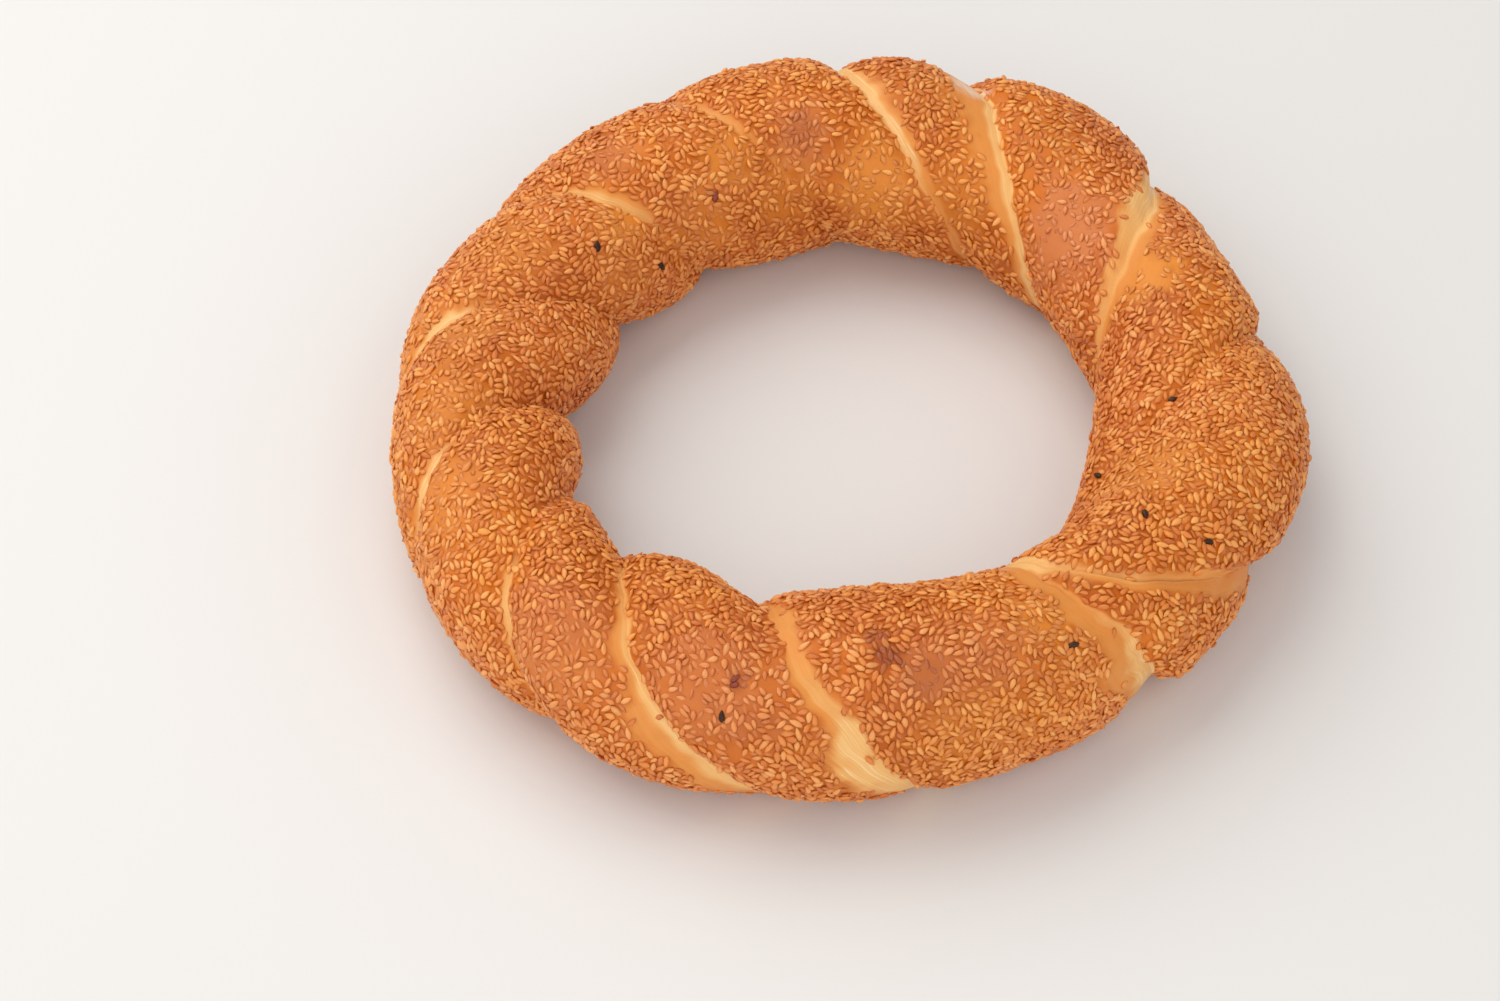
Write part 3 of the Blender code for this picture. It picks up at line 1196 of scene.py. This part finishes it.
    def sort(self, seeds: Seeds, random: np.random.Generator) -> np.ndarray:
        """Return the number of each seed's lot.

        Most seeds of a bald place are glazed, and the seed nearest to each listed place
        is black.

        Args:
            seeds: the settled seeds.
            random: the generator that draws the lots.

        Returns:
            Numbers of SEED_LOTS.
        """
        ring = self.crust.ring
        kinds = [lot.kind for lot in SEED_LOTS]
        lots = random.choice(len(kinds), len(seeds.size), p=[lot.share for lot in SEED_LOTS])
        place = ring.place_at(seeds.azimuth, seeds.theta)
        even = np.zeros_like(seeds.theta)
        smooth = spot_amount(ring, place, Mark.BALD, even) + spot_amount(ring, place, Mark.GOLDEN, even)
        lots[random.uniform(0, 1, len(lots)) < 0.7 * smooth] = kinds.index(SeedKind.GLAZED)
        for azimuth, theta in BLACK_SEEDS:
            along = np.angle(np.exp(1j * (seeds.azimuth - math.radians(azimuth)))) * ring.ring_radius
            around = np.angle(np.exp(1j * (seeds.theta - math.radians(theta)))) * ring.tube_radius
            lots[np.hypot(along, around).argmin()] = kinds.index(SeedKind.BLACK)
        return lots

    def bed(self, seeds: Seeds) -> tuple[np.ndarray, np.ndarray, np.ndarray, np.ndarray]:
        """Return where the seeds' middles touch the crust, and three directions there.

        The directions are round the ring, up the tube and outwards, from the points
        around each middle.
        """
        ring, crust = self.crust.ring, self.crust
        shifts = (self.bed_size / ring.ring_radius, self.bed_size / ring.tube_radius)
        around = [
            crust.points(ring.place_at(seeds.azimuth + a * shifts[0], seeds.theta + t * shifts[1]))
            for a, t in ((1, 0), (-1, 0), (0, 1), (0, -1))
        ]
        east = around[0] - around[1]
        normal = np.cross(east, around[2] - around[3])
        normal /= np.linalg.norm(normal, axis=1, keepdims=True)
        east /= np.linalg.norm(east, axis=1, keepdims=True)
        middle = crust.points(ring.place_at(seeds.azimuth, seeds.theta))
        return middle, east, np.cross(normal, east), normal

    def lay(
        self, seeds: Seeds, lots: np.ndarray, random: np.random.Generator
    ) -> tuple[np.ndarray, dict[str, np.ndarray]]:
        """Press the seeds into the finished crust.

        Args:
            seeds: the settled seeds.
            lots: the number of each seed's lot.
            random: the generator for their tilt and depth.

        Returns:
            The seeds' points, each seed's own first, and for each point what the seeds'
            materials read: its height over the crust in seed thicknesses, how browned
            its seed is, and how scorched.
        """
        middle, east, north, normal = self.bed(seeds)
        count = len(seeds.size)
        place = self.crust.ring.place_at(seeds.azimuth, seeds.theta)
        looks = self.crust.looks(place, middle)
        pressed = ease((-np.sin(seeds.theta) - 0.75) / 0.2)[:, None]
        proud = (random.uniform(0, 1, count) < self.proud_share)[:, None] * (1 - pressed)
        pitch = random.normal(0, 0.15, count)[:, None] * (1 - pressed) * (1 + proud)
        roll = random.normal(0, 0.30, count)[:, None] * (1 - pressed)
        cos_h, sin_h = np.cos(seeds.heading)[:, None], np.sin(seeds.heading)[:, None]
        axis, across = east * cos_h + north * sin_h, north * cos_h - east * sin_h
        axis, normal = turned(axis, normal, pitch)
        across, normal = turned(across, normal, roll)
        sunk = np.array([lot.sunk for lot in SEED_LOTS])[lots] + MM * (
            0.12 * looks[Mark.BALD.value] + 0.08 * looks[Mark.GOLDEN.value]
        )
        rise = random.uniform(*self.rises, count)[:, None] - sunk[:, None] + self.proud_rise * proud
        rise = rise * (1 - pressed) - 0.1 * MM * pressed
        stretch = random.normal(1.0, 0.08, (count, 3)).clip(0.82, 1.18) * seeds.size[:, None]
        local = self.shape.points()[None] * stretch[:, None]
        basis = np.stack([axis, across, normal], 1)
        points = (middle + normal * rise)[:, None] + np.einsum("nvc,ncd->nvd", local, basis)
        points[..., 2] = np.maximum(points[..., 2], self.lowest)
        tone = np.clip(random.uniform(0, 1, count) - 0.5 * looks["bare"], 0, 1)
        each = {
            "lift": (local[..., 2] + rise) / self.shape.thickness,
            "tone": np.broadcast_to(tone[:, None], points.shape[:2]),
        }
        for mark, strength in ((Mark.SCORCHED, 1.0), (Mark.GOLDEN, 0.6), (Mark.BALD, 0.8)):
            shown = strength * looks[mark.value][:, None] * (lots != BLACK_LOT)[:, None]
            each[mark.value] = np.broadcast_to(shown, points.shape[:2])
        return points, each

    def build(self, effects: Effects) -> list[bpy.types.Object]:
        """Build and dress the seeds, one piece for each kind.

        Args:
            effects: the shared node groups.

        Returns:
            The pieces.
        """
        random = np.random.default_rng(self.random_seed)
        seeds = self.settle(self.strew(random), random)
        lots = self.sort(seeds, random)
        points, looks = self.lay(seeds, lots, random)
        pieces = []
        for number, lot in enumerate(SEED_LOTS):
            chosen = lots == number
            each = {name: values[chosen] for name, values in looks.items()}
            pieces.append(self.join(lot, points[chosen], each, effects))
        return pieces

    def join(
        self, lot: SeedLot, points: np.ndarray, looks: dict[str, np.ndarray], effects: Effects
    ) -> bpy.types.Object:
        """Join the seeds of one lot into one piece.

        Args:
            lot: the lot.
            points: the seeds' points.
            looks: what its material reads, for each point.
            effects: the shared node groups.

        Returns:
            The piece.
        """
        each = points.shape[1]
        faces = self.shape.faces()
        joined = [[corner + each * seed for corner in face] for seed in range(len(points)) for face in faces]
        name = lot.kind.value
        piece = add_piece(name, points.reshape(-1, 3), joined, looks, lot.finish.build(name, effects))
        return piece


# ------------------------------------------------------------------ the studio

@dataclass(frozen=True)
class Lamp:
    """A soft square light that faces the ring: its place, width, power in watts and colour."""

    name: str
    place: tuple[float, float, float]
    size: float
    power: float
    colour: tuple[float, ...]


LAMPS = (
    Lamp("key", (-0.45, 0.45, 0.85), 1.1, 7.9, srgb(255, 249, 241)),
    Lamp("side", (0.7, -0.4, 0.7), 1.2, 2.4, srgb(255, 250, 244)),
    Lamp("front", (-0.1, -1.0, 0.45), 1.2, 5.6, srgb(255, 250, 244)),
    Lamp("left", (-1.0, -0.1, 0.35), 1.0, 2.2, srgb(255, 249, 240)),
)


@dataclass(frozen=True)
class Studio:
    """A pale floor, soft light and the camera."""

    floor_size: float = 6.0
    floor_colour: tuple[float, ...] = srgb(226, 227, 229)
    sky_colour: tuple[float, ...] = srgb(250, 248, 244)
    sky_strength: float = 0.465
    aim: tuple[float, float, float] = (-0.02058, -0.01102, 0.0)
    elevation: float = 50.0
    distance: float = 0.7429
    lens: float = 85.0

    def build(self) -> None:
        """Build the floor, the lights and the camera."""
        self.build_floor()
        self.build_sky()
        for lamp in LAMPS:
            self.build_light(lamp)
        self.build_camera()

    def build_floor(self) -> None:
        """Build the floor, with a faint unevenness of its own."""
        half = self.floor_size / 2
        corners = [(-half, -half, 0.0), (half, -half, 0.0), (half, half, 0.0), (-half, half, 0.0)]
        mesh = bpy.data.meshes.new("floor")
        mesh.from_pydata(corners, [], [(0, 1, 2, 3)])
        floor = bpy.data.objects.new("floor", mesh)
        bpy.context.scene.collection.objects.link(floor)
        material = bpy.data.materials.new("floor")
        material.use_nodes = True
        wiring = Wiring(material.node_tree)
        shader = material.node_tree.nodes["Principled BSDF"]
        shader.inputs["Roughness"].default_value = 0.6
        worn = wiring.math("MULTIPLY", wiring.noise(9.0, 2.0), 0.08)
        wiring.feed(shader.inputs["Base Color"], wiring.mix(worn, self.floor_colour, srgb(212, 211, 211)))
        mesh.materials.append(material)

    def build_sky(self) -> None:
        """Build the even light from all round."""
        world = bpy.data.worlds.new("studio")
        world.use_nodes = True
        background = world.node_tree.nodes["Background"]
        background.inputs["Color"].default_value = self.sky_colour
        background.inputs["Strength"].default_value = self.sky_strength
        bpy.context.scene.world = world

    def build_light(self, lamp: Lamp) -> None:
        """Build one lamp."""
        data = bpy.data.lights.new(lamp.name, "AREA")
        data.size = lamp.size
        data.energy = lamp.power
        data.color = lamp.colour[:3]
        light = bpy.data.objects.new(lamp.name, data)
        light.location = lamp.place
        light.rotation_euler = (-Vector(lamp.place)).to_track_quat("-Z", "Y").to_euler()
        bpy.context.scene.collection.objects.link(light)

    def build_camera(self) -> None:
        """Build the camera, which looks down at the ring from the front."""
        angle = math.radians(self.elevation)
        data = bpy.data.cameras.new("camera")
        data.lens = self.lens
        camera = bpy.data.objects.new("camera", data)
        back = Vector((0.0, -math.cos(angle), math.sin(angle)))
        camera.location = Vector(self.aim) + self.distance * back
        camera.rotation_euler = (math.pi / 2 - angle, 0.0, 0.0)
        bpy.context.scene.collection.objects.link(camera)
        bpy.context.scene.camera = camera


def main() -> None:
    """Build the crust, the seeds and the studio."""
    logging.basicConfig(level=logging.INFO, format="%(name)s: %(message)s")
    effects = Effects()
    crust = Crust(TwistedRing())
    crust.build(effects)
    SeedCoat(crust).build(effects)
    Studio().build()
    bpy.context.scene.view_settings.view_transform = "Standard"


if __name__ == "__main__":
    main()
